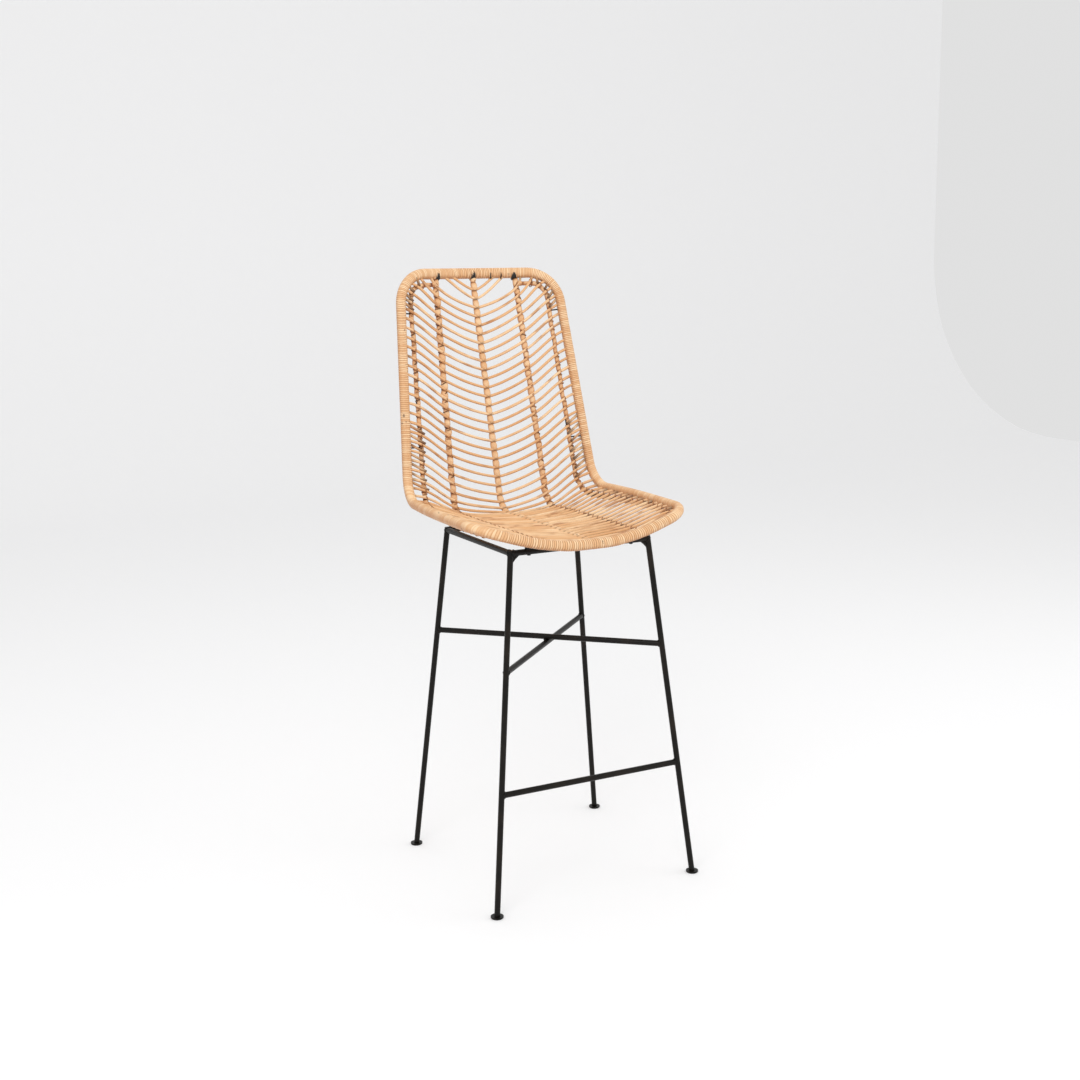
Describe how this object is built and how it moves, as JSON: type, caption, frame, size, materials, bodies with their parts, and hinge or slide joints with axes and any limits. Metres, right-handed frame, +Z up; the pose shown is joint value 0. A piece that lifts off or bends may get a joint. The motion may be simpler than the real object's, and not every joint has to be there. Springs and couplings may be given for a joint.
{
  "type": "bar stool",
  "caption": "Bar stool with a one-piece woven rattan back and seat on a splayed welded steel rod base with crossed braces and a front footrest.",
  "frame": {"origin": "centre of the bounding box's footprint, on the floor under the feet", "axes": "+X along the seat's width, to the right of someone facing the stool; -Y towards the front edge of the seat; +Z up"},
  "size_m": [0.5004, 0.5814, 1.2735],
  "materials": {
    "black_steel": "satin black powder coat",
    "screw_steel": "blackened steel",
    "glide_plastic": "matte",
    "rattan_wrap": "natural rattan peel, lightly lacquered",
    "rattan_strand": "natural rattan core, lightly lacquered"
  },
  "bodies": {
    "root": {"leg_front_left": "black_steel", "foot_disc_front_left": "black_steel", "foot_glide_front_left": "glide_plastic", "leg_front_right": "black_steel", "foot_disc_front_right": "black_steel", "foot_glide_front_right": "glide_plastic", "leg_rear_left": "black_steel", "foot_disc_rear_left": "black_steel", "foot_glide_rear_left": "glide_plastic", "leg_rear_right": "black_steel", "foot_disc_rear_right": "black_steel", "foot_glide_rear_right": "glide_plastic", "seat_rail_front": "black_steel", "seat_rail_rear": "black_steel", "seat_rail_left": "black_steel", "seat_rail_right": "black_steel", "cross_brace_upper": "black_steel", "cross_brace_lower": "black_steel", "brace_welds": "black_steel", "footrest_bar": "black_steel", "corner_gusset_left": "black_steel", "footrest_gussets_left": "black_steel", "corner_gusset_right": "black_steel", "footrest_gussets_right": "black_steel", "shell_spacer_front_left": "black_steel", "shell_spacer_front_right": "black_steel", "shell_spacer_rear_left": "black_steel", "shell_spacer_rear_right": "black_steel", "shell_screws": "screw_steel", "rim_rod": "black_steel", "rim_wrap": "rattan_wrap", "rib_left_rod": "black_steel", "rib_left_wrap": "rattan_wrap", "rib_centre_rod": "black_steel", "rib_centre_wrap": "rattan_wrap", "rib_right_rod": "black_steel", "rib_right_wrap": "rattan_wrap", "side_loop_left_rod": "black_steel", "side_loop_left_wrap": "rattan_wrap", "side_loop_right_rod": "black_steel", "side_loop_right_wrap": "rattan_wrap", "loop_tie_upper_left": "black_steel", "loop_tie_upper_right": "black_steel", "loop_tie_lower_left": "black_steel", "loop_tie_lower_right": "black_steel", "back_strands": "rattan_strand", "seat_strands": "rattan_strand"}
  },
  "joints": []
}
